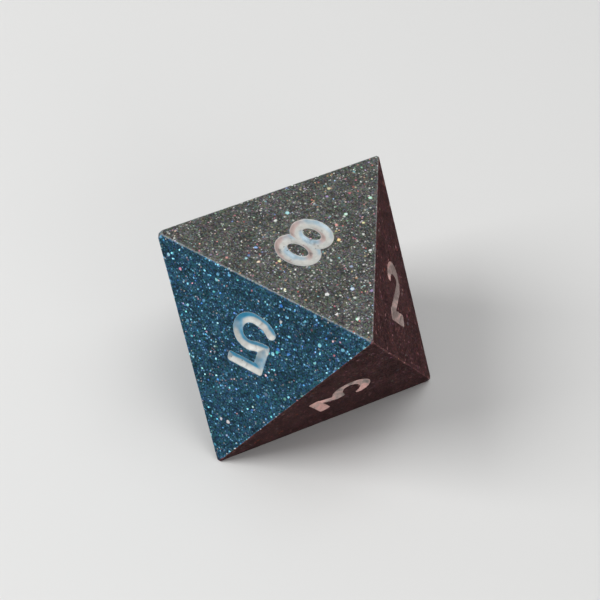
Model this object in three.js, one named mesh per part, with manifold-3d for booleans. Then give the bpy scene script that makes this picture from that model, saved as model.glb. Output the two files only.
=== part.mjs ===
// An eight-sided die: a cast octahedron with a numeral engraved in each face and filled with paint.
// Millimetres, +Z up. The die rests on its face 1, and the origin is the centre of that face.
// +Y is the way the top of the numeral 8 points, seen from above, and +X is to the right of it.
import * as THREE from "three";
import { ConvexGeometry } from "three/addons/geometries/ConvexGeometry.js";
import { mergeVertices } from "three/addons/utils/BufferGeometryUtils.js";
import Module from "manifold-3d";

const wasm = await Module();
wasm.setup();

// ---- Driving dimensions ----
const ACROSS_FLATS = 15; // between two opposite faces, which is also the resting height
const POINT_CUT = 0.2; // how far each of the six points is cut back along its axis
const EDGE_CUT = 0.06; // how far each of the twelve edges is cut back along the two axes it joins
const STROKE = 1.0; // width of most of the numerals' strokes
const THIN_STROKE = 0.88; // width of the strokes of a 3 and a 5
const CORNER_RADIUS = 0.25; // the corners at the end of a stroke
const GROOVE_DEPTH = 0.45; // depth of the engraving
const FLOOR_RADIUS = 0.15; // how far a groove's wall curves in on its way to the floor
const FLOOR_RISE = 0.3; // and how far above the floor that curve begins
const FLOOR_SEGMENTS = 2; // flat bands that the curve is made of
const PAINT_RECESS = 0.1; // the paint's surface is this far below the face
const PAINT_GAP = 0.05; // clearance between the paint and the groove
const CUTTER_RISE = 0.5; // how far the engraving tool stands out of the face
const HALF_HEIGHT = 2.37; // of a numeral
const ARC_STEP = 15; // degrees that one straight piece of a curve turns through
const SAME_POINT = 0.001; // points closer than this are one

// The centrelines of a bar along a numeral's head and of one along its foot.
const HEAD = HALF_HEIGHT - STROKE / 2;
const FOOT = -HEAD;

// Where the path of a stem ends.
const TIP = HALF_HEIGHT - CORNER_RADIUS;

// How far from the centre the uncut faces would meet.
const POINT = (ACROSS_FLATS / 2) * Math.sqrt(3);

// Every numeral as strokes round its own centre. A stroke follows a path of points and goes on past both
// ends by the radius of its corners, or by half its width where its last end is round. A ring is an ellipse,
// given by its centre and its two radii.
const NUMERALS = {
  1: [{ path: [at(0.3, TIP), at(0.3, -TIP)] }, { path: [at(0.3, 1.9), at(-0.79, 1.23)] }],
  2: [
    { path: [...bow(0.05, 0.92, 1.32, 0.95, 177, -35), at(-1.4, FOOT + 0.1)] },
    { path: [at(-1.8, FOOT), at(1.7, FOOT)] },
  ],
  3: [
    { path: [at(-1.5, HEAD), at(1.5, HEAD)], width: THIN_STROKE },
    { path: [at(1.2, 1.75), at(-0.15, 0.35)], width: THIN_STROKE },
    { path: [at(-0.4, 0.27), ...bow(0.1, -0.86, 1.55, 1.08, 80, -160)], width: THIN_STROKE, round: true },
  ],
  4: [
    { path: [at(0.65, TIP), at(0.65, -TIP)] },
    { path: [at(0.4, 1.75), at(-1.25, -0.8)] },
    { path: [at(-1.65, -0.9), at(1.55, -0.9)] },
  ],
  5: [
    { path: [at(-1.22, 1.88), at(1.3, 1.88)], width: THIN_STROKE },
    { path: [at(-1.03, 2.07), at(-1.12, -0.13)], width: THIN_STROKE },
    { path: [at(-1.33, 0.04), at(-0.5, 0.12), ...hook(0.2, -0.83)], width: THIN_STROKE, round: true },
  ],
  6: [{ ring: [0, -0.82, 1.28, 1.05] }, { path: bow(1.0, -0.82, 2.28, 2.69, 185, 104) }],
  7: [{ path: [at(-1.4, HEAD), at(1.35, HEAD)] }, { path: [at(1.05, 1.75), at(-0.46, -2.14)] }],
  8: [{ ring: [0, 0.95, 1.22, 0.92] }, { ring: [0, -0.92, 1.33, 0.95] }],
};

// The octant that each face lies in, and where its numeral's centre is on it. Opposite faces add up to nine.
// The tops of the even numerals point to one point of the octahedron, and those of the odd ones to the
// point opposite.
const FACES = [
  { value: 1, octant: [-1, -1, -1], shift: [0, 0] },
  { value: 2, octant: [-1, 1, 1], shift: [-0.05, -0.05] },
  { value: 3, octant: [-1, 1, -1], shift: [0.2, -0.12] },
  { value: 4, octant: [-1, -1, 1], shift: [0, 0] },
  { value: 5, octant: [1, 1, -1], shift: [-0.2, -0.5] },
  { value: 6, octant: [1, -1, 1], shift: [0, 0] },
  { value: 7, octant: [1, -1, -1], shift: [0, 0] },
  { value: 8, octant: [1, 1, 1], shift: [0.18, 0] },
];

// ---- Materials ----
const resin = new THREE.MeshStandardMaterial({
  name: "resin",
  color: 0x3c4246,
  roughness: 0.35,
  metalness: 0.3,
});
const paint = new THREE.MeshStandardMaterial({
  name: "paint",
  color: 0xd9d6cc,
  roughness: 0.6,
  metalness: 0,
});

// ---- Solids ----

// A closed geometry as a solid that can be cut and joined.
function solidOf(geometry) {
  const bare = geometry.clone();
  bare.deleteAttribute("normal");
  bare.deleteAttribute("uv");
  const merged = mergeVertices(bare, SAME_POINT);
  const vertProperties = merged.attributes.position.array;
  const triVerts = new Uint32Array(merged.index.array);
  return new wasm.Manifold(new wasm.Mesh({ numProp: 3, vertProperties, triVerts }));
}

function geometryOf(solid) {
  const { vertProperties, triVerts } = solid.getMesh();
  const geometry = new THREE.BufferGeometry();
  geometry.setAttribute("position", new THREE.BufferAttribute(vertProperties, 3));
  geometry.setIndex(new THREE.BufferAttribute(triVerts, 1));
  geometry.computeVertexNormals();
  return geometry;
}

function union(solids) {
  return solids.reduce((joined, next) => joined.add(next));
}

// ---- Outlines ----

function at(x, y) {
  return new THREE.Vector2(x, y);
}

// Points along part of an ellipse, between two angles in degrees.
function bow(x, y, radiusX, radiusY, from, to) {
  const start = THREE.MathUtils.degToRad(from);
  const end = THREE.MathUtils.degToRad(to);
  const curve = new THREE.EllipseCurve(x, y, radiusX, radiusY, start, end, to < from);
  return curve.getPoints(Math.max(1, Math.round(Math.abs(to - from) / ARC_STEP)));
}

// A line moved sideways, to its left for a positive distance.
function beside(line, distance, closed = false) {
  const count = line.length;
  return line.map((point, i) => {
    const before = closed ? (i + count - 1) % count : Math.max(i - 1, 0);
    const after = closed ? (i + 1) % count : Math.min(i + 1, count - 1);
    const way = line[after].clone().sub(line[before]).normalize();
    return at(point.x - way.y * distance, point.y + way.x * distance);
  });
}

// The bowl of a 5: round at the right, and longer at the left.
function hook(x, y) {
  return [...bow(x, y, 1.1, 1.12, 100, -75), ...bow(x, y, 1.75, 1.12, -90, -153)];
}

// The end of a stroke, from its right side to its left: two rounded corners, which are one half circle where
// their radius is half the stroke's width.
function cap(end, way, half, radius) {
  const left = at(-way.y, way.x).multiplyScalar(half - radius);
  const turn = THREE.MathUtils.radToDeg(way.angle());
  return [
    ...bow(end.x - left.x, end.y - left.y, radius, radius, turn - 90, turn),
    ...bow(end.x + left.x, end.y + left.y, radius, radius, turn, turn + 90),
  ];
}

// The outline of a stroke along an open path.
function strokeShape({ path, width = STROKE, round = false }, grow) {
  const half = width / 2 + grow;
  const corner = CORNER_RADIUS + grow;
  const [first, second] = path;
  const [last, beforeLast] = path.toReversed();
  const outline = [
    ...beside(path, -half),
    ...cap(last, last.clone().sub(beforeLast).normalize(), half, round ? half : corner),
    ...beside(path, half).reverse(),
    ...cap(first, first.clone().sub(second).normalize(), half, corner),
  ];
  const following = (i) => outline[(i + 1) % outline.length];
  return new THREE.Shape(outline.filter((point, i) => point.distanceTo(following(i)) > SAME_POINT));
}

// The outline of a ring, with its counter as a hole.
function ringShape([x, y, radiusX, radiusY], grow) {
  const half = STROKE / 2 + grow;
  const line = bow(x, y, radiusX, radiusY, 0, 360).slice(0, -1);
  const shape = new THREE.Shape(beside(line, -half, true));
  shape.holes.push(new THREE.Path(beside(line, half, true)));
  return shape;
}

// ---- Numerals ----

// A numeral as one solid, from its floor up to a height over the face, which is at height 0. Its walls curve
// in towards the floor. grow makes every stroke wider on each side.
function numeralSolid(value, floor, grow = 0) {
  const settings = {
    depth: CUTTER_RISE - floor,
    bevelThickness: FLOOR_RISE,
    bevelSize: FLOOR_RADIUS,
    bevelOffset: -FLOOR_RADIUS,
    bevelSegments: FLOOR_SEGMENTS,
  };
  const strokes = NUMERALS[value].map((piece) => {
    const shape = piece.ring ? ringShape(piece.ring, grow) : strokeShape(piece, grow);
    return solidOf(new THREE.ExtrudeGeometry(shape, settings).translate(0, 0, floor + FLOOR_RISE));
  });
  return union(strokes);
}

// The frame of a face: x is the numeral's right, y its top, and z points out of the die.
function faceMatrix({ octant, shift }) {
  const out = new THREE.Vector3(...octant).normalize();
  const point = new THREE.Vector3(0, 0, octant[2]);
  const up = point.addScaledVector(out, -point.dot(out)).normalize();
  const right = up.clone().cross(out);
  const centre = out.clone().multiplyScalar(ACROSS_FLATS / 2);
  centre.addScaledVector(right, shift[0]).addScaledVector(up, shift[1]);
  return new THREE.Matrix4().makeBasis(right, up, out).setPosition(centre);
}

// ---- The die ----

// The plain body, with its points and edges cut flat. Every corner of it lies on one face, one cut edge and
// one cut point, so the corners are one triple of distances in every order and with every sign.
function blankSolid() {
  const triple = [POINT - POINT_CUT, POINT_CUT - EDGE_CUT, EDGE_CUT];
  const orders = [[0, 1, 2], [0, 2, 1], [1, 0, 2], [1, 2, 0], [2, 0, 1], [2, 1, 0]];
  const corners = orders.flatMap((order) =>
    FACES.map(({ octant }) => new THREE.Vector3(...order.map((n, axis) => triple[n] * octant[axis]))),
  );
  return solidOf(new ConvexGeometry(corners));
}

function dieBody() {
  const cutters = FACES.map((face) => {
    return numeralSolid(face.value, -GROOVE_DEPTH).transform(faceMatrix(face).elements);
  });
  const mesh = new THREE.Mesh(geometryOf(blankSolid().subtract(union(cutters))), resin);
  mesh.name = "die_body";
  return mesh;
}

// The paint in one numeral: the engraving's own shape, a little smaller, and level at the top.
function inlay(face) {
  const slabSize = 4 * HALF_HEIGHT;
  const slab = new THREE.BoxGeometry(slabSize, slabSize, slabSize);
  slab.translate(0, 0, -slabSize / 2 - PAINT_RECESS);
  const fill = numeralSolid(face.value, PAINT_GAP - GROOVE_DEPTH, -PAINT_GAP).intersect(solidOf(slab));
  const mesh = new THREE.Mesh(geometryOf(fill), paint);
  mesh.name = `numeral_${face.value}_inlay`;
  mesh.applyMatrix4(faceMatrix(face));
  return mesh;
}

// Turns the octahedron so that the 8 is level and on top, and sets it down on the table.
const upright = new THREE.Matrix4().makeBasis(
  new THREE.Vector3(-1, 1, 0).normalize(),
  new THREE.Vector3(-1, -1, 2).normalize(),
  new THREE.Vector3(1, 1, 1).normalize(),
);

const die = new THREE.Group();
die.add(dieBody(), ...FACES.map(inlay));
die.applyMatrix4(upright.transpose());
die.position.z = ACROSS_FLATS / 2;

export default die;
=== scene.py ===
"""An eight-sided die in glitter resin, with engraved numerals filled with paint, on a pale floor.

The shapes are worked out in millimetres, in the octahedron's own axes, and mesh_object() turns them into
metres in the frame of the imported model. A face's own plane has x to the right of its numeral and y towards
the top of it.
"""

import math

import bmesh
import bpy
import numpy as np
from mathutils import Matrix, Vector, noise
from mathutils.geometry import delaunay_2d_cdt


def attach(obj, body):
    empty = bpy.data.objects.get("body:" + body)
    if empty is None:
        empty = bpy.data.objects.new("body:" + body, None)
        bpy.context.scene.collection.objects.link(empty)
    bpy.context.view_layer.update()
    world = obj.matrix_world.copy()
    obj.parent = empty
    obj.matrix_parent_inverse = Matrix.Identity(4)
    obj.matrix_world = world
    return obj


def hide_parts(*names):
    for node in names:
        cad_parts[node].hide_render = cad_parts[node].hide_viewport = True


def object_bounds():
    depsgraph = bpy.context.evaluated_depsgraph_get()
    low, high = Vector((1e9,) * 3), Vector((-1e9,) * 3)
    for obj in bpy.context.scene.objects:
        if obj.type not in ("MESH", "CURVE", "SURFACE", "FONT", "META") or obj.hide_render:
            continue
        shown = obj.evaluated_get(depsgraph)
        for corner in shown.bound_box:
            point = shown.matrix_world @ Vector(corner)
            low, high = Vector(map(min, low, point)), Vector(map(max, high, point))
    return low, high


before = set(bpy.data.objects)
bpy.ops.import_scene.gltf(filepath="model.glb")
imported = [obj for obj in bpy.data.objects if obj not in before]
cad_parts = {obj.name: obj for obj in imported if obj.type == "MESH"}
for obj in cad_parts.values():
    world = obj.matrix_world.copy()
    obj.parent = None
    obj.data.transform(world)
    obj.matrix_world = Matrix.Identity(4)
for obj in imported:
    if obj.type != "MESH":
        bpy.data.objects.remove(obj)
cad_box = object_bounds()

MM = 0.001
BODY = "root"

# ---- The die ----
ACROSS_FLATS = (cad_box[1].z - cad_box[0].z) / MM
POINT = ACROSS_FLATS / 2 * math.sqrt(3)  # how far from the centre the sharp octahedron's points are
# How far each point is cut back, by its axis and sign.
TIP_CUTS = {(0, 1): 0.32, (0, -1): 0.25, (1, 1): 0.2, (1, -1): 0.28, (2, 1): 0.13, (2, -1): 0.14}
TIP_LIP = 0.06  # height of the rounding between a cut point and the edges
TIP_ROUNDING = ((0.25, 0.95), (0, 0.84))  # rings of it: share of that height left, and of the full width
CHIPPED_POINT = (2, -1)
CHIPPED_FACE = 5  # that point is cut back further on the side of this face
CHIP = 0.38  # by this much
EDGE_WIDTH = 0.13  # of the rounding on each side of an edge
EDGE_WEAR = 0.04  # how much that width varies
WEAR_WAVES = 2.4  # over this length
NICK_SIZE = 0.35  # length along the edge
NICK_LEVEL = 0.35  # more is rarer nicks
NICK_DEPTH = 4  # times the edge's wear
EDGE_STEP = 0.14  # spacing of the points along an edge
EDGE_SEGMENTS = 4
PLATE_MARGIN = 0.12  # from the rounding, or from the numeral, to the nearest points inside a face
PLATE_STEP = 0.9  # spacing of the points inside a face
SAME_POINT = 0.0005  # points closer than this are one
CDT_INSIDE = 1  # tells the triangulation to keep what is inside the outermost line
CDT_NEAR = 1e-5  # and how close two of its points can be

# ---- The engraving ----
STROKE = 1.0  # width of most of the numerals' strokes
THIN_STROKE = 0.88  # and of those of a 3 and a 5
CORNER_RADIUS = 0.25  # the corners at the end of a stroke
HALF_HEIGHT = 2.37  # of a numeral
HEAD = HALF_HEIGHT - STROKE / 2  # the middle of a bar along a numeral's head
FOOT = -HEAD  # and of one along its foot
TIP = HALF_HEIGHT - CORNER_RADIUS  # where the path of a stem ends
ARC_STEP = 4  # degrees that one straight piece of a curve turns through
FEWEST_STEPS = 2  # straight pieces in any curve
GROOVE_DEPTH = 0.45
WALL = 0.5  # width of the wall between the lip and the floor
WALL_CURVE = 2.0  # 1 is a straight wall, and more is rounder towards the floor
LIP = 0.03  # the lip is rounded this far to each side of the outline
GRID = 0.05  # pitch that the outlines are found on
GRID_REACH = 3.2  # and how far from the numeral's centre
CONTOUR_STEP = 0.075  # spacing of the points along a groove
FEWEST_POINTS = 8  # in any line round it
# Lines round the groove that carry its points, by their distance out from the outline.
CONTOURS = (0.06, 0.03, -0.05, -0.1, -0.16, -0.22, -0.28, -0.34, -0.4)

# ---- The paint ----
PAINT_EDGE = -0.02  # the paint ends here on the wall, as a distance out from the outline
PAINT_RAGGED = 0.012  # how much its edge strays
PAINT_RAGS = 0.25  # and over what length
PAINT_EDGE_WIDTH = 0.05  # the film thins out to nothing over this width
PAINT_FILM = 0.03  # thickness near that edge, measured straight up
PAINT_FILLS = 0.4  # share of the groove's depth that the paint adds to it
PAINT_UNEVEN = 0.2  # share that the thickness varies by
PAINT_WAVES = 0.5  # and over what length
PAINT_SEED = 3  # a numeral's value times this is the seed of that variation
PAINT_UNDERSIDE = 0.3  # share of the thickness that the underside is off the resin

# ---- Colours, as linear red, green and blue ----
# The next four are painted light on one dark grey glitter: grey under the top light, blue light at the front
# left, red light at the right, and red light in shade on the low sides.
SILVER = (0.078, 0.082, 0.075)
BLUE_LIGHT_TONE = (0.014, 0.062, 0.102)
RED_LIGHT_TONE = (0.092, 0.036, 0.037)
SHADED = (0.058, 0.027, 0.027)
NEUTRAL = (0.08, 0.08, 0.08)
WHITE = (1, 1, 1)
# Pale speckles of wear, with a painted highlight, on the upper edges.
PALE_WEAR_AND_HIGHLIGHT = (0.21, 0.22, 0.22)
PAINT = (0.55, 0.55, 0.515)
# Painted blue light on the paint's walls.
PAINT_BLUE_LIGHT = (0.03, 0.27, 0.46)
# Painted red light on the paint's walls and on the right sides.
PAINT_RED_LIGHT = (0.56, 0.3, 0.27)
PIT = (0.05, 0.05, 0.05)
FLOOR_COLOUR = (0.72, 0.72, 0.71)
ROOM_ABOVE = (0.3, 0.3, 0.305)
ROOM_BELOW = (0.02, 0.02, 0.02)

# ---- Which way the sides face, for the light painted on them, in the imported model's frame ----
# A facing is how far a side points in a direction, from -1 to 1. A range gives the facings, or the other
# numbers, that a change starts and ends at.
UPWARD = (0, 0, 1)
SILVER_RANGE = (0.5, 0.9)  # of upward facing
SHADED_RANGE = (-0.1, -0.6)
RED_LIGHT_WAY = (1, 0.35, 0)  # the sides that face this way get painted red light, and the others painted blue light
RED_LIGHT_RANGE = (-0.3, 0.6)
GLINT_SHADE_WAY = (1, 0.1, 0)  # painted shade: the glitter shows least on the sides that face this way
GLINT_SHADE_RANGE = (0.3, 0.75)
QUIETEST = 0.33  # share of it that is left there
LOW_RANGE = (0.1, -0.3)  # of upward facing: painted shade dims it on the low sides too
LOW_LEVEL = 0.6  # and this is the share that is left there

# ---- The glitter ----
# Sizes are in millimetres, and brightness is in times the resin's own.
GRAIN_SIZE = 0.1  # of the finest glitter, which covers everything
GRAIN_BRIGHTNESS = (0.42, 1.6)
GRAIN_SATURATION = 0.28
PATCH_SIZE = 1.3  # of the lighter and darker patches in it
PATCH_RANGE = (0.3, 0.7)
PATCH_BRIGHTNESS = (0.78, 1.25)
# For each layer of flakes, the size of its cells, the share of them that holds a flake, the brightness of
# the dullest and of the brightest, and how colourful the purest are.
FLAKE_LAYERS = (
    {"size": 0.14, "share": 0.24, "dullest": 2.5, "brightest": 8, "purest": 0.6},
    {"size": 0.18, "share": 0.09, "dullest": 4, "brightest": 26, "purest": 0.9},
    {"size": 0.3, "share": 0.034, "dullest": 9, "brightest": 24, "purest": 1.0},
)
FLAKE_SKEW = 3.0  # more is more of the flakes close to the dullest
FLAKE_OUTLINE = (0.62, 0.2)  # a flake fades in between these distances from the middle of its cell
COLOURFUL_SHARE = 0.8  # of the flakes, and the rest are white
PUREST_SHARE = 0.15  # of the flakes, which are as colourful as their layer can be
FLAKE_HUES = (
    (1, 0.15, 0.13), (1, 0.5, 0.25), (1, 0.88, 0.45), (0.5, 1, 0.65), (0.4, 0.85, 1), (0.3, 0.45, 1),
    (0.7, 0.5, 1), (1, 0.3, 0.4),
)
OWN_HUES = 0.9  # flakes whose random number is above this show their hue even where blue or red light is painted on their side
LEAST_OWN = 0.15  # and the others do by this share
STEP = 0.002  # a change over a range this narrow has a sharp edge
OWN_STEP = 0.02  # and over this one it is a little softer
RAGGEDNESS = 0.1  # how far the outlines of grains and flakes stray
RAG_SIZE = 0.2  # and over what length
BRIGHTEST = 0.95  # the most that the resin throws back of any colour
FLAKE_LEAN = 0.22  # how far flakes lean out of the surface
FLAKE_METAL = 0.5  # how metallic a flake is where the glitter shows most
RESIN_ROUGHNESS = (0.45, 0.28)  # of bare resin and of a flake
RESIN_SPECULAR = 0.3

# ---- The worn edges of the die, with a painted highlight on the upper ones ----
ENGRAVED_TO = 8.6  # no engraving reaches further than this from the die's centre
EDGE_RANGE = (0.995, 0.93)  # of how squarely a point faces the way of the side that it is on
EDGE_LIGHT = 2.0  # brightness of a worn edge, part wear and part painted highlight
PALE_RANGE = (0.2, 0.7)  # of upward facing: a painted highlight makes the upper edges paler still
SPECKLE_SIZE = 0.16
SPECKLE_RANGE = (0.42, 0.6)
SPECKLE_SHARE = (0.1, 0.85)  # of the worn colour, between the speckles and in them

# ---- The light painted on the paint, and its marks ----
TINT_SIZE = 1.4  # of the patches in the painted light
TINT_RANGE = (0.32, 0.66)
BLUE_WAY = (0.0, -0.75, -0.65)  # walls that lean this way are painted with blue light
BLUE_RANGE = (-0.26, 0.36)
BLUE_SHIFT = (-0.02, 0.17)  # patches widen the painted blue light by this much
BLUE_SIDE_RANGE = (0.3, 0.05)  # of facing the red light's way: no blue light is painted on the paint on those sides
TOP_SHIFT = -0.3  # the painted blue light is narrower on the top side
TOP_BLUE = 0.5  # and this strong
RED_WAY = (0.8, 0.45, 0.25)  # walls that face this way are painted with pink light
RED_RANGE = (0.26, 0.64)
WALL_RED = 0.5  # and this strong
RIGHTWARD = (1, 0, 0)  # the paint on the sides that face this way is painted with red light in patches
RED_SIDE_RANGE = (0.5, 0.8)
SIDE_RED = (0.3, 0.85)  # strength of the painted red light between those patches and in them
SIDE_SHADE = (0.62, 1.6)  # and brightness, as painted shade and painted highlight
THIN_SIZE = 0.5  # of the places where the paint is thinner and thicker
THIN_DETAIL = 4.0
THIN_RANGE = (0.3, 0.7)
THIN_SHADE = (0.84, 1.04)
SMUDGE_SIZE = 0.7  # of the dark smudges
SMUDGE_DETAIL = 5.0
SMUDGE_RANGE = (0.6, 0.74)
SMUDGE_SHARE = 0.55
PIT_SIZE = 0.22  # of the cells that the pits are in
PIT_LEVEL = (0.97, 0.975)  # a cell has a pit where its random number is above these
PIT_OUTLINE = (0.34, 0.16)  # a pit fades in between these distances from the middle of its cell
PIT_SHARE = 0.75  # how strongly a pit shows
PAINT_GRAIN_SIZE = 0.08
PAINT_GRAIN_RANGE = (0.3, 0.7)
PAINT_ROUGHNESS = (0.3, 0.45)
PAINT_SPECULAR = 0.5
BUMP_STRENGTH = 0.35
BUMP_HEIGHT = 0.02  # in millimetres

# ---- Floor, light and camera ----
# Azimuth 0 is in front of the die, and 90 to its right.
FLOOR_HALF = 1.5  # in metres
# Name, azimuth, elevation, distance and side in metres, power in watts.
SOFTBOXES = (
    ("key", -48, 45, 0.4, 0.22, 1.15),
    ("fill", 60, 25, 0.45, 0.3, 0.35),
    ("top", 150, 75, 0.5, 0.35, 0.7),
)
CAMERA_AZIMUTH = 29.83
CAMERA_ELEVATION = 49.09
CAMERA_ROLL = 3.63
CAMERA_DISTANCE = 169.4
CAMERA_ASIDE = (-0.12, -0.615)  # how far the die's middle is to the right of the picture's, and above it
LENS = 136
SENSOR = 36
CLIP_START = 0.01
HORIZON_RANGE = (-0.1, 0.05)  # heights in the room that its dark lower half turns pale between


def at(x, y):
    return np.array([x, y], float)


def bow(x, y, radius_x, radius_y, start, end):
    """Points along part of an ellipse, between two angles in degrees."""
    steps = max(FEWEST_STEPS, round(abs(end - start) / ARC_STEP))
    angles = np.radians(np.linspace(start, end, steps + 1))
    return list(np.column_stack([x + radius_x * np.cos(angles), y + radius_y * np.sin(angles)]))


def hook(x, y):
    """The bowl of a 5: round at the right, and longer at the left."""
    return [*bow(x, y, 1.1, 1.12, 100, -90), *bow(x, y, 1.75, 1.12, -94, -153)]


def stroke(path, width=STROKE, rounded=False):
    return {"path": path, "width": width, "rounded": rounded}


# The CAD model's strokes. A ring is an ellipse, given by its centre and its two radii.
NUMERALS = {
    1: [stroke([at(0.3, TIP), at(0.3, -TIP)]), stroke([at(0.3, 1.9), at(-0.79, 1.23)])],
    2: [
        stroke([*bow(0.05, 0.92, 1.32, 0.95, 177, -35), at(-1.4, FOOT + 0.1)]),
        stroke([at(-1.8, FOOT), at(1.7, FOOT)]),
    ],
    3: [
        stroke([at(-1.5, HEAD), at(1.5, HEAD)], THIN_STROKE),
        stroke([at(1.2, 1.75), at(-0.15, 0.35)], THIN_STROKE),
        stroke([at(-0.4, 0.27), *bow(0.1, -0.86, 1.55, 1.08, 80, -160)], THIN_STROKE, rounded=True),
    ],
    4: [
        stroke([at(0.65, TIP), at(0.65, -TIP)]),
        stroke([at(0.4, 1.75), at(-1.25, -0.8)]),
        stroke([at(-1.65, -0.9), at(1.55, -0.9)]),
    ],
    5: [
        stroke([at(-1.22, 1.88), at(1.3, 1.88)], THIN_STROKE),
        stroke([at(-1.03, 2.07), at(-1.12, -0.13)], THIN_STROKE),
        stroke([at(-1.33, 0.04), at(-0.5, 0.12), *hook(0.2, -0.83)], THIN_STROKE, rounded=True),
    ],
    6: [{"ring": (0, -0.82, 1.28, 1.05)}, stroke(bow(1.0, -0.82, 2.28, 2.69, 185, 104))],
    7: [stroke([at(-1.4, HEAD), at(1.35, HEAD)]), stroke([at(1.05, 1.75), at(-0.46, -2.14)])],
    8: [{"ring": (0, 0.95, 1.22, 0.92)}, {"ring": (0, -0.92, 1.33, 0.95)}],
}

# The octant that each face lies in, and where its numeral's centre is on it.
FACES = {
    1: ((-1, -1, -1), (0, 0)),
    2: ((-1, 1, 1), (-0.05, -0.05)),
    3: ((-1, 1, -1), (0.2, -0.12)),
    4: ((-1, -1, 1), (0, 0)),
    5: ((1, 1, -1), (-0.2, -0.5)),
    6: ((1, -1, 1), (0, 0)),
    7: ((1, -1, -1), (0, 0)),
    8: ((1, 1, 1), (0.18, 0)),
}

# The octahedron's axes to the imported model's: the 8 level and on top, and the 1 on the floor.
UPRIGHT = np.array([[-1, 1, 0], [-1, -1, 2], [1, 1, 1]]) / np.sqrt([[2], [6], [3]])


def unit(vector):
    return vector / np.linalg.norm(vector)


def mesh_object(name, points, polygons):
    """A piece of the die from points in the octahedron's axes."""
    world = (np.asarray(points) @ UPRIGHT.T + [0, 0, ACROSS_FLATS / 2]) * MM
    mesh = bpy.data.meshes.new(name)
    mesh.from_pydata(world.tolist(), [], [list(map(int, p)) for p in polygons])
    mesh.validate()
    mesh.shade_smooth()
    piece = bpy.data.objects.new(name, mesh)
    bpy.context.scene.collection.objects.link(piece)
    return piece


# ---- Outlines and their distance ----


def beside(line, distance):
    """The line moved sideways, to its left for a positive distance."""
    line = np.array(line)
    before = np.vstack([line[:1], line[:-1]])
    after = np.vstack([line[1:], line[-1:]])
    way = after - before
    way /= np.linalg.norm(way, axis=1, keepdims=True)
    return list(line + distance * np.column_stack([-way[:, 1], way[:, 0]]))


def cap(end, way, half, radius):
    """The end of a stroke, from its right side to its left, with rounded corners."""
    left = at(-way[1], way[0]) * (half - radius)
    turn = math.degrees(math.atan2(way[1], way[0]))
    return [
        *bow(*(end - left), radius, radius, turn - 90, turn),
        *bow(*(end + left), radius, radius, turn, turn + 90),
    ]


def outline(path, width, rounded):
    """The closed outline of a stroke, which goes on past both ends of its path."""
    half = width / 2
    return np.array([
        *beside(path, -half),
        *cap(path[-1], unit(path[-1] - path[-2]), half, half if rounded else CORNER_RADIUS),
        *beside(path, half)[::-1],
        *cap(path[0], unit(path[0] - path[1]), half, CORNER_RADIUS),
    ])


def signed_distance(points, polygon):
    """How far each point is outside a closed polygon, and negative inside."""
    nearest = np.full(len(points), np.inf)
    inside = np.zeros(len(points), bool)
    for a, b in zip(polygon, np.roll(polygon, -1, axis=0)):
        side = b - a
        if side @ side == 0:
            continue
        reach = points - a
        share = np.clip(reach @ side / (side @ side), 0, 1)
        nearest = np.minimum(nearest, np.linalg.norm(reach - share[:, None] * side, axis=1))
        crosses = (points[:, 1] < a[1]) != (points[:, 1] < b[1])
        cross = side[0] * reach[:, 1] - side[1] * reach[:, 0]
        inside ^= crosses & ((cross > 0) == (side[1] > 0))
    return np.where(inside, -nearest, nearest)


def numeral_distance(value, points):
    """How far each point is outside the outline of a numeral, and negative inside."""
    distances = []
    for part in NUMERALS[value]:
        if "ring" in part:
            middle = np.array(bow(*part["ring"], 0, 360)[:-1])
            distances.append(np.abs(signed_distance(points, middle)) - STROKE / 2)
        else:
            distances.append(signed_distance(points, outline(**part)))
    return np.min(distances, axis=0)


def depth(distance):
    """Depth of the groove at a distance from the outline: a rounded lip, a wall and a floor."""
    blend = np.clip(LIP - distance, 0, 2 * LIP) ** 2 / (4 * LIP)
    run = np.where(distance < -LIP, -distance, blend)
    return GROOVE_DEPTH * (1 - (1 - np.clip(run / WALL, 0, 1)) ** WALL_CURVE)


def wander(points, pitch, seed):
    """A smooth random number between about -1 and 1 for each point."""
    return np.array([noise.noise(Vector((*(p / pitch), seed))) for p in points])


def paint_distance(value, points):
    """How far each point is outside the ragged edge of the paint."""
    return numeral_distance(value, points) - PAINT_EDGE - PAINT_RAGGED * wander(points, PAINT_RAGS, value)


def zero_lines(field, ticks):
    """The closed lines along which a field changes sign. Its values are on a square grid, which has these
    ticks on both sides. A line goes from square to square, across the sides whose ends differ in sign."""
    inside = field < 0
    mixed = inside[:-1, :-1].astype(int) + inside[1:, :-1] + inside[1:, 1:] + inside[:-1, 1:]
    follows = {}
    for i, j in np.argwhere((mixed > 0) & (mixed < 4)):
        corners = [(i, j), (i + 1, j), (i + 1, j + 1), (i, j + 1)]
        sides = [tuple(sorted((corners[k], corners[(k + 1) % 4]))) for k in range(4)]
        leaves = [k for k in range(4) if inside[corners[k]] and not inside[corners[(k + 1) % 4]]]
        for k in leaves:
            turn = next(m for m in range(1, 4) if inside[corners[(k + m + 1) % 4]])
            follows[sides[k]] = sides[(k + turn) % 4]
    lines = []
    while follows:
        side, ahead = follows.popitem()
        line = []
        while side is not None:
            (a, b), (c, d) = side
            share = field[a, b] / (field[a, b] - field[c, d])
            start, end = at(ticks[a], ticks[b]), at(ticks[c], ticks[d])
            line.append(start + share * (end - start))
            side, ahead = ahead, follows.pop(ahead, None)
        lines.append(np.array(line))
    return lines


def respaced(line, step):
    """A closed line with its points spread evenly."""
    closed = np.vstack([line, line[:1]])
    along = np.concatenate([[0], np.cumsum(np.linalg.norm(np.diff(closed, axis=0), axis=1))])
    count = max(FEWEST_POINTS, round(along[-1] / step))
    stations = np.linspace(0, along[-1], count, endpoint=False)
    return np.column_stack([np.interp(stations, along, closed[:, k]) for k in (0, 1)])


# ---- The octahedron's edges and points ----


def corner(axis, sign):
    return sign * POINT * np.eye(3)[axis]


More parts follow.
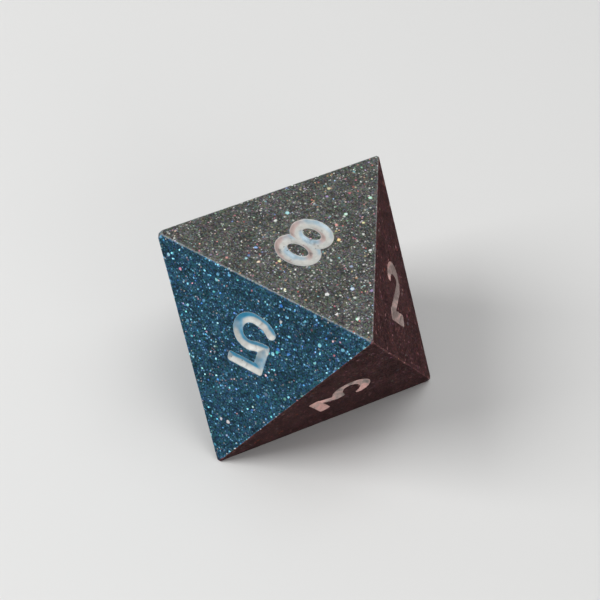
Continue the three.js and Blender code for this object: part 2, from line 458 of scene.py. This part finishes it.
def edge_rows(axis_a, sign_a, axis_b, sign_b):
    """The rounding along one edge: rows across it, each from the face on the third axis's positive side to
    the one on its negative side. A row is a curve that the sharp edge pulls towards itself, and wear makes
    its width vary."""
    a, b = corner(axis_a, sign_a), corner(axis_b, sign_b)
    third = 3 - axis_a - axis_b
    length = np.linalg.norm(b - a)
    start = tip_depth(axis_a, sign_a, axis_b, sign_b) * math.sqrt(2)
    end = length - tip_depth(axis_b, sign_b, axis_a, sign_a) * math.sqrt(2)
    inward = [unit(corner(third, side) - (a + b) / 2) for side in (1, -1)]
    rows = []
    for distance in np.linspace(start, end, round((end - start) / EDGE_STEP) + 1):
        ridge = a + (b - a) * distance / length
        width = EDGE_WIDTH + EDGE_WEAR * worn(ridge)
        across = np.linspace(0, 1, EDGE_SEGMENTS + 1)[:, None]
        rows.append(ridge + width * ((1 - across) ** 2 * inward[0] + across**2 * inward[1]))
    return np.array(rows)


def worn(point):
    """How worn an edge is at a point: gentle along its length, with small nicks."""
    gentle = noise.noise(Vector(point / WEAR_WAVES))
    nick = max(0, noise.noise(Vector(point / NICK_SIZE)) - NICK_LEVEL)
    return gentle + NICK_DEPTH * nick


def tip_depth(axis, sign, other, other_sign):
    """How far below a sharp point its rounding starts, on the edge towards another point."""
    chipped = (axis, sign) == CHIPPED_POINT and FACES[CHIPPED_FACE][0][other] == other_sign
    return TIP_CUTS[axis, sign] + TIP_LIP + (CHIP if chipped else 0)


ALL_EDGES = {
    (a, sign_a, b, sign_b): edge_rows(a, sign_a, b, sign_b)
    for a, b in ((0, 1), (0, 2), (1, 2))
    for sign_a in (1, -1)
    for sign_b in (1, -1)
}


def face_border(octant):
    """The points along the border of one face, in order, from the edges' roundings."""
    border = []
    for a, b in ((0, 1), (1, 2), (2, 0)):
        low, high = sorted((a, b))
        rows = ALL_EDGES[low, octant[low], high, octant[high]]
        side = rows[:, 0 if octant[3 - a - b] > 0 else -1]
        border.extend(side if a < b else side[::-1])
    return np.array(border)


def tip_cap(axis, sign):
    """The blunt end of one point: a rounding and a small flat, as points and polygons."""
    others = [k for k in range(3) if k != axis]
    loop = []
    # Round the point, by the edges that meet in it and the faces between them.
    for k, other_sign in ((0, 1), (1, 1), (0, -1), (1, -1)):
        other = others[k]
        low, high = sorted((axis, other))
        low_sign, high_sign = (sign, other_sign) if low == axis else (other_sign, sign)
        rows = ALL_EDGES[low, low_sign, high, high_sign]
        row = rows[0] if low == axis else rows[-1]
        beyond = others[1 - k]
        forward = loop_direction(k, other_sign)
        loop.extend(row if row[0][beyond] * forward < row[-1][beyond] * forward else row[::-1])
    loop = np.array(loop)
    below = POINT - abs(loop[:, axis])
    rings = [loop]
    for height_left, width in TIP_ROUNDING:
        risen = below - TIP_LIP * (1 - height_left)
        ring = loop * (width * risen / below)[:, None]
        ring[:, axis] = sign * (POINT - risen)
        rings.append(ring)
    count = len(loop)
    points = np.vstack(rings)
    polygons = [list(range(len(points) - count, len(points)))]
    for ring in range(len(TIP_ROUNDING)):
        for k in range(count):
            near, far = ring * count + k, ring * count + (k + 1) % count
            polygons.append([near, far, far + count, near + count])
    return points, polygons


def loop_direction(k, other_sign):
    """Which way the loop round a point passes an edge, along the other of the two axes."""
    return other_sign if k == 0 else -other_sign


# ---- Faces ----


def face_frame(value):
    """The centre of a numeral and the face's x, y and outward axes."""
    octant, shift = FACES[value]
    out = unit(np.array(octant, float))
    point = np.array([0, 0, octant[2]], float)
    up = unit(point - out * (point @ out))
    right = np.cross(up, out)
    centre = out * ACROSS_FLATS / 2 + right * shift[0] + up * shift[1]
    return centre, right, up, out


def plate(value):
    """One engraved face: its points in its own plane, with their height as the third number, and its
    triangles."""
    centre, right, up, _ = face_frame(value)
    border = (face_border(FACES[value][0]) - centre) @ np.column_stack([right, up])
    ticks = np.arange(-GRID_REACH, GRID_REACH, GRID)
    grid = np.stack(np.meshgrid(ticks, ticks, indexing="ij"), axis=-1)
    distance = numeral_distance(value, grid.reshape(-1, 2)).reshape(grid.shape[:2])
    ragged = paint_distance(value, grid.reshape(-1, 2)).reshape(grid.shape[:2])
    loops = [border]
    for field in [distance - level for level in CONTOURS] + [ragged]:
        loops.extend(respaced(line, CONTOUR_STEP) for line in zero_lines(field, ticks))
    loose = inner_points(value, border)
    points, edges = [], []
    for loop in loops:
        first = len(points)
        count = len(loop)
        points.extend(Vector(p) for p in loop)
        edges.extend((first + k, first + (k + 1) % count) for k in range(count))
    points.extend(Vector(p) for p in loose)
    flat, _, triangles, _, _, _ = delaunay_2d_cdt(points, edges, [], CDT_INSIDE, CDT_NEAR)
    flat = np.array([tuple(p) for p in flat])
    return np.column_stack([flat, -depth(numeral_distance(value, flat))]), triangles


def inner_points(value, border):
    """A grid of points inside a face, clear of its border and its numeral."""
    steps = np.arange(-POINT, POINT, PLATE_STEP)
    grid = np.stack(np.meshgrid(steps, steps), axis=-1).reshape(-1, 2)
    in_face = signed_distance(grid, border) < -PLATE_MARGIN
    return grid[in_face & (numeral_distance(value, grid) > PLATE_MARGIN)]


def in_place(value, flat):
    """Points of a face's plane in the octahedron's axes."""
    centre, right, up, out = face_frame(value)
    return centre + flat @ np.array([right, up, out])


def die_body(plates):
    """The casting: its engraved faces, its edges' roundings and its blunt points, joined into one mesh."""
    points, polygons = [], []

    def add(new_points, new_polygons):
        first = sum(map(len, points))
        points.append(np.asarray(new_points))
        polygons.extend([first + k for k in polygon] for polygon in new_polygons)

    for value, (flat, triangles) in plates.items():
        add(in_place(value, flat), triangles)
    for rows in ALL_EDGES.values():
        across = EDGE_SEGMENTS + 1
        add(rows.reshape(-1, 3), [
            [r * across + k, r * across + k + 1, (r + 1) * across + k + 1, (r + 1) * across + k]
            for r in range(len(rows) - 1)
            for k in range(EDGE_SEGMENTS)
        ])
    for axis in range(3):
        for sign in (1, -1):
            add(*tip_cap(axis, sign))
    piece = mesh_object("die_body_cast", np.vstack(points), polygons)
    weld(piece)
    keep_flats_flat(piece)
    return piece


def weld(piece):
    """Joins the points that two parts of a piece share, and turns all its faces outward."""
    made = bmesh.new()
    made.from_mesh(piece.data)
    bmesh.ops.remove_doubles(made, verts=made.verts, dist=SAME_POINT * MM)
    bmesh.ops.recalc_face_normals(made, faces=made.faces)
    made.to_mesh(piece.data)
    made.free()


def keep_flats_flat(piece):
    """Shades a rounding between two flats as round without bending the light on the flats."""
    piece.modifiers.new("flat faces", "WEIGHTED_NORMAL").mode = "FACE_AREA"


def paint_fill(value, flat, triangles):
    """The paint in one numeral: thin at the lip of the groove and thickest over its floor."""
    triangles = np.array(triangles)
    middles = flat[triangles].mean(axis=1)[:, :2]
    triangles = triangles[paint_distance(value, middles) < 0]
    used, triangles = np.unique(triangles, return_inverse=True)
    triangles = triangles.reshape(-1, 3)
    flat = flat[used]
    inward = np.clip(-paint_distance(value, flat[:, :2]), 0, None)
    full = PAINT_FILM - PAINT_FILLS * flat[:, 2]
    uneven = 1 + PAINT_UNEVEN * wander(flat[:, :2], PAINT_WAVES, PAINT_SEED * value)
    thickness = full * uneven * np.clip(inward / PAINT_EDGE_WIDTH, 0, 1)
    rim = rim_points(triangles)
    thickness[rim] = 0
    rise = thickness[:, None] * [0, 0, 1]
    # The top and the underside share the points of the rim.
    under = np.arange(len(flat)) + len(flat)
    under[rim] = rim
    points = np.vstack([flat + rise, flat + PAINT_UNDERSIDE * rise])
    polygons = np.vstack([triangles, under[triangles][:, ::-1]])
    kept, polygons = np.unique(polygons, return_inverse=True)
    return mesh_object(f"numeral_{value}_paint", in_place(value, points[kept]), polygons.reshape(-1, 3))


def rim_points(triangles):
    """The points on the edge of a sheet of triangles."""
    sides = np.sort(np.vstack([triangles[:, [0, 1]], triangles[:, [1, 2]], triangles[:, [2, 0]]]), axis=1)
    sides, uses = np.unique(sides, axis=0, return_counts=True)
    return np.unique(sides[uses == 1])


# ---- Materials ----


def new_material(name):
    material = bpy.data.materials.new(name)
    material.use_nodes = True
    tree = material.node_tree
    tree.nodes.clear()
    return material, tree


def node(tree, kind, *inputs, **settings):
    """A shader node. Inputs are given in the order of its sockets, as values or as other sockets, and None
    leaves one as it is. The rest are the node's own settings."""
    made = tree.nodes.new("ShaderNode" + kind)
    for key, value in settings.items():
        setattr(made, key, value)
    for socket, value in zip(made.inputs, inputs):
        plug(tree, socket, value)
    return made


def plug(tree, socket, value):
    if isinstance(value, bpy.types.NodeSocket):
        tree.links.new(value, socket)
    elif value is not None:
        socket.default_value = value


def maths(tree, operation, *inputs):
    return node(tree, "Math", *inputs, operation=operation).outputs[0]


def vector_maths(tree, operation, *inputs):
    made = node(tree, "VectorMath", *inputs, operation=operation)
    return made.outputs["Value" if operation == "DOT_PRODUCT" else "Vector"]


def ramp(tree, value, between, to=(0.0, 1.0)):
    """The value carried smoothly from one range to another, and held at its ends."""
    return node(tree, "MapRange", value, *between, *to, interpolation_type="SMOOTHSTEP").outputs[0]


def mix(tree, share, first, second, blend="MIX"):
    made = node(tree, "Mix", data_type="RGBA", blend_type=blend)
    plug(tree, made.inputs["Factor"], share)
    plug(tree, made.inputs["A"], first)
    plug(tree, made.inputs["B"], second)
    return made.outputs["Result"]


def solid(colour):
    return (*colour, 1)


def facing(tree, normal, direction):
    """How far a normal points in a direction, from -1 to 1."""
    return vector_maths(tree, "DOT_PRODUCT", normal, unit(np.array(direction, float)).tolist())


def place_on(tree):
    return node(tree, "TexCoord").outputs["Object"]


def normal_on(tree):
    return node(tree, "TexCoord").outputs["Normal"]


def face_normal(tree):
    """The normal of the octahedron's face that each point lies on, whatever is engraved there."""
    reach = vector_maths(tree, "SUBTRACT", place_on(tree), [0, 0, ACROSS_FLATS / 2 * MM])
    total = [0, 0, 0]
    for axis in UPRIGHT.T:
        side = maths(tree, "SIGN", facing(tree, reach, axis))
        part = vector_maths(tree, "MULTIPLY", grey(tree, side), unit(axis).tolist())
        total = vector_maths(tree, "ADD", total, part)
    return vector_maths(tree, "NORMALIZE", total)


def grey(tree, value):
    return node(tree, "CombineXYZ", value, value, value).outputs[0]


def times(tree, colour, value):
    return mix(tree, 1.0, colour, value, "MULTIPLY")


def cells(tree, place, size):
    """Random cells of about a size in millimetres: their random colour, the same as three numbers, and how
    far each point is from the middle of its cell, in cell sizes."""
    voronoi = node(tree, "TexVoronoi", place)
    plug(tree, voronoi.inputs["Scale"], 1 / (size * MM))
    colour = voronoi.outputs["Color"]
    return colour, list(node(tree, "SeparateColor", colour).outputs), voronoi.outputs["Distance"]


def uneven_noise(tree, place, size, detail=2.0):
    made = node(tree, "TexNoise", place)
    plug(tree, made.inputs["Scale"], 1 / (size * MM))
    plug(tree, made.inputs["Detail"], detail)
    return made.outputs


def centred(tree, colour):
    """A random colour as a vector that is as likely to point one way as the other."""
    return vector_maths(tree, "SUBTRACT", colour, [0.5] * 3)


def ragged_place(tree):
    """The place on the die, shaken a little so that cells laid out by it have uneven outlines."""
    place = place_on(tree)
    shake = centred(tree, uneven_noise(tree, place, RAG_SIZE)["Color"])
    return vector_maths(tree, "ADD", place, vector_maths(tree, "MULTIPLY", shake, [RAGGEDNESS * MM] * 3))


def tilted_normal(tree, colour, amount):
    """The surface's normal leaning a random way in each cell."""
    lean = vector_maths(tree, "MULTIPLY", centred(tree, colour), grey(tree, amount))
    normal = node(tree, "NewGeometry").outputs["Normal"]
    return vector_maths(tree, "NORMALIZE", vector_maths(tree, "ADD", normal, lean))


def finish_material(tree, colour, roughness, normal, specular, metallic=0.0):
    """The shader that ends a material."""
    shader = node(tree, "BsdfPrincipled")
    plug(tree, shader.inputs["Base Color"], colour)
    plug(tree, shader.inputs["Metallic"], metallic)
    plug(tree, shader.inputs["Roughness"], roughness)
    plug(tree, shader.inputs["Normal"], normal)
    shader.inputs["Specular IOR Level"].default_value = specular
    output = node(tree, "OutputMaterial")
    tree.links.new(shader.outputs[0], output.inputs["Surface"])


def painted_side_light(tree, outward):
    """Light painted on the glitter by the way each side faces: silver-grey under the top light, painted blue
    light at the front left, painted red light at the right and painted shade on the low sides."""
    upward = facing(tree, outward, UPWARD)
    rightward = ramp(tree, facing(tree, outward, RED_LIGHT_WAY), RED_LIGHT_RANGE)
    side = mix(tree, rightward, solid(BLUE_LIGHT_TONE), solid(RED_LIGHT_TONE))
    low_side = mix(tree, ramp(tree, upward, SHADED_RANGE), side, solid(SHADED))
    return mix(tree, ramp(tree, upward, SILVER_RANGE), low_side, solid(SILVER))


def painted_glint_light(tree, outward):
    """Painted shade on the glitter: how strongly it shows, which is least on the two right sides and less on
    the low sides.
    """
    rightward = ramp(tree, facing(tree, outward, GLINT_SHADE_WAY), GLINT_SHADE_RANGE, (1.0, QUIETEST))
    low = ramp(tree, facing(tree, outward, UPWARD), LOW_RANGE, (1.0, LOW_LEVEL))
    return maths(tree, "MULTIPLY", rightward, low)


def edge_share(tree, outward):
    """How much a point is on the rounding of an edge or a point of the octahedron, and not in an
    engraving."""
    along_face = vector_maths(tree, "DOT_PRODUCT", normal_on(tree), outward)
    centre = [0, 0, ACROSS_FLATS / 2 * MM]
    from_centre = node(tree, "VectorMath", place_on(tree), centre, operation="DISTANCE").outputs["Value"]
    clear = ramp(tree, from_centre, (ENGRAVED_TO * MM, (ENGRAVED_TO + EDGE_STEP) * MM))
    return maths(tree, "MULTIPLY", ramp(tree, along_face, EDGE_RANGE), clear)


def flake_hue(tree, number):
    """One of the flakes' hues for a random number from 0 to 1."""
    made = node(tree, "ValToRGB", number)
    made.color_ramp.interpolation = "CONSTANT"
    stops = made.color_ramp.elements
    for k, hue in enumerate(FLAKE_HUES):
        # A new colour ramp has two stops.
        stop = stops[k] if k < 2 else stops.new(k / len(FLAKE_HUES))
        stop.position = k / len(FLAKE_HUES)
        stop.color = solid(hue)
    return made.outputs["Color"]


def flakes(tree, place, below, side_light, glint_lighting, size, share, dullest, brightest, purest):
    """One layer of flakes over the colour below it, how much of a flake each point is, and a random colour
    for each flake."""
    random_colour, (level, hue, rare), distance = cells(tree, place, size)
    chosen = ramp(tree, level, (1 - share, 1 - share + STEP))
    amount = maths(tree, "MULTIPLY", chosen, ramp(tree, distance, FLAKE_OUTLINE))
    spread = maths(tree, "POWER", rare, FLAKE_SKEW)
    brightness = maths(tree, "MULTIPLY_ADD", spread, brightest - dullest, dullest)
    # Painted shade dims a flake on the shaded sides.
    shown = maths(tree, "MULTIPLY_ADD", maths(tree, "SUBTRACT", brightness, 1.0), glint_lighting, 1.0)
    # Most flakes take the painted light of their side, and the rarest keep the resin's neutral colour.
    own_share = ramp(tree, hue, (OWN_HUES, OWN_HUES + OWN_STEP), (LEAST_OWN, 1.0))
    own = mix(tree, own_share, side_light, solid(NEUTRAL))
    colourful = (1 - share * COLOURFUL_SHARE, 1 - share * PUREST_SHARE)
    tint = mix(tree, ramp(tree, level, colourful, (0.0, purest)), solid(WHITE), flake_hue(tree, hue))
    colour = times(tree, times(tree, own, tint), grey(tree, shown))
    return mix(tree, amount, below, colour), amount, random_colour


def grain(tree, place, side_light):
    """The finest glitter, which covers the whole surface, and a random colour for each grain."""
    random_colour, (level, hue, _), _ = cells(tree, place, GRAIN_SIZE)
    tint = node(tree, "CombineColor", hue, GRAIN_SATURATION, 1.0, mode="HSV").outputs[0]
    patch = ramp(tree, uneven_noise(tree, place, PATCH_SIZE)["Fac"], PATCH_RANGE, PATCH_BRIGHTNESS)
    brightness = maths(tree, "MULTIPLY", ramp(tree, level, (0.0, 1.0), GRAIN_BRIGHTNESS), patch)
    # The grains carry the painted light of their side.
    return times(tree, times(tree, side_light, tint), grey(tree, brightness)), random_colour


def worn_and_highlit_edge(tree, place, colour):
    """The colour of a worn edge, which is the glitter's, painted side light included, but brighter, with
    pale speckles of wear and painted highlight at the top.
    """
    upper = ramp(tree, facing(tree, normal_on(tree), UPWARD), PALE_RANGE)
    speckles = uneven_noise(tree, place, SPECKLE_SIZE)["Fac"]
    pale = maths(tree, "MULTIPLY", upper, ramp(tree, speckles, SPECKLE_RANGE, SPECKLE_SHARE))
    return mix(tree, pale, times(tree, colour, grey(tree, EDGE_LIGHT)), solid(PALE_WEAR_AND_HIGHLIGHT))


def glitter_resin():
    """Dark resin that is full of fine glitter."""
    material, tree = new_material("glitter_resin")
    place = ragged_place(tree)
    outward = face_normal(tree)
    # Each side's tone is painted light: grey under the top light, blue and red where those lights fall,
    # shade below.
    side_light = painted_side_light(tree, outward)
    # Painted shade: the glints are dimmer on the right and low sides.
    glint_lighting = painted_glint_light(tree, outward)
    colour, lean_colour = grain(tree, place, side_light)
    for layer in FLAKE_LAYERS:
        colour, flake, random_colour = flakes(tree, place, colour, side_light, glint_lighting, **layer)
        lean_colour = mix(tree, flake, lean_colour, random_colour)
    # Worn edges, brighter, with a painted highlight on the upper ones.
    colour = mix(tree, edge_share(tree, outward), colour, worn_and_highlit_edge(tree, place, colour))
    # The shine is that of the last layer, which has the largest flakes.
    shine = maths(tree, "MULTIPLY", flake, glint_lighting)
    lean = maths(tree, "MULTIPLY", glint_lighting, FLAKE_LEAN)
    finish_material(
        tree,
        colour=vector_maths(tree, "MINIMUM", colour, [BRIGHTEST] * 3),
        roughness=ramp(tree, shine, (0.0, 1.0), RESIN_ROUGHNESS),
        normal=tilted_normal(tree, lean_colour, lean),
        specular=RESIN_SPECULAR,
        metallic=maths(tree, "MULTIPLY", shine, FLAKE_METAL),
    )
    return material


def painted_blue_light(tree, outward, patches):
    """How much blue light is painted on the paint: most on the walls that lean to the lower left, and not on
    the right sides.
    """
    top = ramp(tree, facing(tree, outward, UPWARD), SILVER_RANGE)
    lean = vector_maths(tree, "SUBTRACT", normal_on(tree), outward)
    lower_left = maths(tree, "MULTIPLY_ADD", top, TOP_SHIFT, facing(tree, lean, BLUE_WAY))
    spread = maths(tree, "ADD", lower_left, ramp(tree, patches, (0.0, 1.0), BLUE_SHIFT))
    on_left = ramp(tree, facing(tree, outward, RED_LIGHT_WAY), BLUE_SIDE_RANGE)
    on_top = ramp(tree, top, (0.0, 1.0), (1.0, TOP_BLUE))
    blue_light_share = ramp(tree, spread, BLUE_RANGE)
    return maths(tree, "MULTIPLY", maths(tree, "MULTIPLY", blue_light_share, on_left), on_top)


def paint_colour_and_light(tree, place, outward):
    """The paint's colour before it is worn: off-white, with painted blue light on the walls that face one
    way, painted pink light on those that face another, and painted pink light, highlight and shade in
    patches on the right sides."""
    patches = ramp(tree, uneven_noise(tree, place, TINT_SIZE)["Fac"], TINT_RANGE)
    # The paint's walls that lean to the lower left are painted with blue light.
    blue_lit_paint = mix(tree, painted_blue_light(tree, outward, patches), solid(PAINT), solid(PAINT_BLUE_LIGHT))
    red_lit_wall = ramp(tree, facing(tree, normal_on(tree), RED_WAY), RED_RANGE, (0.0, WALL_RED))
    on_right = ramp(tree, facing(tree, outward, RIGHTWARD), RED_SIDE_RANGE)
    red_lit_side = maths(tree, "MULTIPLY", on_right, ramp(tree, patches, (0.0, 1.0), SIDE_RED))
    tint = mix(tree, maths(tree, "MAXIMUM", red_lit_wall, red_lit_side), blue_lit_paint, solid(PAINT_RED_LIGHT))
    # Painted highlight and shade in patches on the right sides.
    patchy_highlight_and_shade = grey(tree, ramp(tree, patches, (0.0, 1.0), SIDE_SHADE))
    return times(tree, tint, mix(tree, on_right, solid(WHITE), patchy_highlight_and_shade))


def numeral_paint():
    """Off-white paint, wiped in by hand: a little uneven, with fine pits, and with the blue and red light
    that falls on the die's sides painted on the walls that face those ways."""
    material, tree = new_material("numeral_paint")
    place = place_on(tree)
    tint = paint_colour_and_light(tree, place, face_normal(tree))
    thin = ramp(tree, uneven_noise(tree, place, THIN_SIZE, THIN_DETAIL)["Fac"], THIN_RANGE, THIN_SHADE)
    smudges = uneven_noise(tree, place, SMUDGE_SIZE, SMUDGE_DETAIL)["Fac"]
    smudge = ramp(tree, smudges, SMUDGE_RANGE, (0.0, SMUDGE_SHARE))
    smeared = mix(tree, smudge, times(tree, tint, grey(tree, thin)), solid(PIT))
    _, (level, _, _), distance = cells(tree, place, PIT_SIZE)
    pit = maths(tree, "MULTIPLY", ramp(tree, level, PIT_LEVEL), ramp(tree, distance, PIT_OUTLINE))
    fine = uneven_noise(tree, place, PAINT_GRAIN_SIZE)["Fac"]
    bump = node(tree, "Bump")
    plug(tree, bump.inputs["Strength"], BUMP_STRENGTH)
    plug(tree, bump.inputs["Distance"], BUMP_HEIGHT * MM)
    plug(tree, bump.inputs["Height"], maths(tree, "SUBTRACT", fine, pit))
    finish_material(
        tree,
        colour=mix(tree, maths(tree, "MULTIPLY", pit, PIT_SHARE), smeared, solid(PIT)),
        roughness=ramp(tree, fine, PAINT_GRAIN_RANGE, PAINT_ROUGHNESS),
        normal=bump.outputs[0],
        specular=PAINT_SPECULAR,
    )
    return material


def plain_material(name, colour):
    material, tree = new_material(name)
    shader = node(tree, "BsdfDiffuse", solid(colour))
    output = node(tree, "OutputMaterial")
    tree.links.new(shader.outputs[0], output.inputs["Surface"])
    return material


# ---- The die's pieces ----

plates = {value: plate(value) for value in NUMERALS}
resin = glitter_resin()
paint = numeral_paint()

body = die_body(plates)
body.data.materials.append(resin)
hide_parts("die_body")
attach(body, BODY)

for value, (flat, triangles) in plates.items():
    fill = paint_fill(value, flat, triangles)
    fill.data.materials.append(paint)
    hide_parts(f"numeral_{value}_inlay")
    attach(fill, BODY)

# ---- Floor, light and camera ----


def floor():
    mesh = bpy.data.meshes.new("floor")
    corners = ((-1, -1), (1, -1), (1, 1), (-1, 1))
    points = [(x * FLOOR_HALF, y * FLOOR_HALF, cad_box[0].z) for x, y in corners]
    mesh.from_pydata(points, [], [(0, 1, 2, 3)])
    mesh.materials.append(plain_material("floor_card", FLOOR_COLOUR))
    made = bpy.data.objects.new("floor", mesh)
    bpy.context.scene.collection.objects.link(made)
    # The die's satin faces reflect the dark room below, not the card that it lies on.
    made.visible_glossy = False


def towards(azimuth, elevation):
    """The direction from the die to a light or to the camera."""
    turn, rise = math.radians(azimuth), math.radians(elevation)
    return Vector((math.sin(turn) * math.cos(rise), -math.cos(turn) * math.cos(rise), math.sin(rise)))


def softbox(name, azimuth, elevation, distance, size, power):
    """A square soft light that looks at the die."""
    away = towards(azimuth, elevation)
    light = bpy.data.lights.new(name, "AREA")
    light.size = size
    light.energy = power
    made = bpy.data.objects.new(name, light)
    made.location = away * distance
    made.rotation_euler = away.to_track_quat("Z", "Y").to_euler()
    bpy.context.scene.collection.objects.link(made)


def surroundings():
    """A pale room above the floor's level, and a dark one below it."""
    world = bpy.data.worlds.new("room")
    world.use_nodes = True
    tree = world.node_tree
    tree.nodes.clear()
    height = node(tree, "SeparateXYZ", node(tree, "TexCoord").outputs["Generated"]).outputs["Z"]
    shade = mix(tree, ramp(tree, height, HORIZON_RANGE), solid(ROOM_BELOW), solid(ROOM_ABOVE))
    background = node(tree, "Background", shade, 1.0)
    output = node(tree, "OutputWorld")
    tree.links.new(background.outputs[0], output.inputs["Surface"])
    bpy.context.scene.world = world


def camera():
    data = bpy.data.cameras.new("camera")
    data.sensor_width = SENSOR
    data.lens = LENS
    data.clip_start = CLIP_START
    turn, roll = math.radians(CAMERA_AZIMUTH), math.radians(CAMERA_ROLL)
    back = towards(CAMERA_AZIMUTH, CAMERA_ELEVATION)
    level_right = Vector((math.cos(turn), math.sin(turn), 0))
    level_up = back.cross(level_right)
    right = level_right * math.cos(roll) + level_up * math.sin(roll)
    up = back.cross(right)
    middle = (cad_box[0] + cad_box[1]) / 2
    aside = right * CAMERA_ASIDE[0] + up * CAMERA_ASIDE[1]
    place = middle + (back * CAMERA_DISTANCE - aside) * MM
    made = bpy.data.objects.new("camera", data)
    made.matrix_world = Matrix.Translation(place) @ Matrix((right, up, back)).transposed().to_4x4()
    bpy.context.scene.collection.objects.link(made)
    bpy.context.scene.camera = made


floor()
surroundings()
for light in SOFTBOXES:
    softbox(*light)
camera()
bpy.context.scene.view_settings.view_transform = "Standard"
